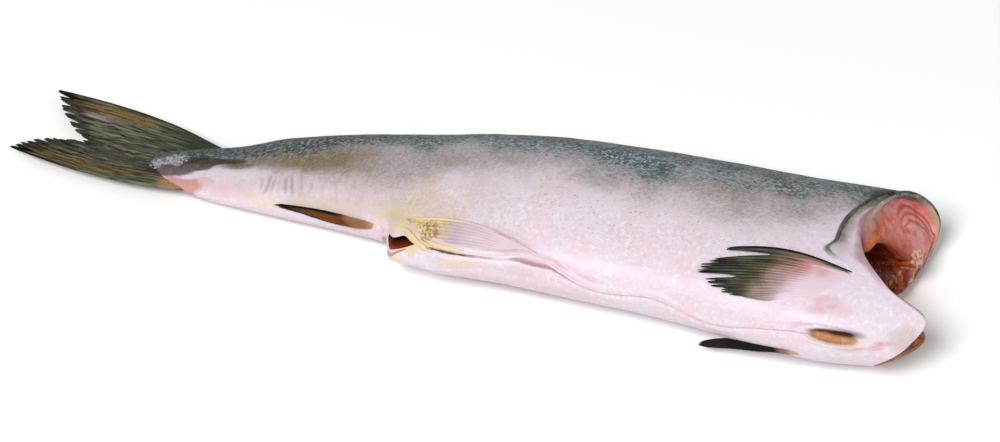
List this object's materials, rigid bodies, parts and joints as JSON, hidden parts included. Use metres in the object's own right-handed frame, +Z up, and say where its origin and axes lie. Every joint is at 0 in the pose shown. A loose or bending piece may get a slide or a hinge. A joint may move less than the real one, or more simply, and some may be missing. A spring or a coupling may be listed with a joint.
{
  "type": "headless gutted raw fish",
  "caption": "Raw salmon-like fish on its side, head cut off and belly opened and gutted, with tail, paired fins, anal fin, dorsal fin and an empty body cavity.",
  "frame": {"origin": "on the table, under the middle of the bounding box", "axes": "+X from the tail to the head cut, +Y from the belly to the back, +Z up out of the right flank"},
  "size_m": [0.4602, 0.1104, 0.0541],
  "materials": {
    "fish_skin": "wet, glossy scaled skin, dark green back and pinkish silver flank and belly"
  },
  "bodies": {
    "root": {"fish": "fish_skin"}
  },
  "joints": []
}
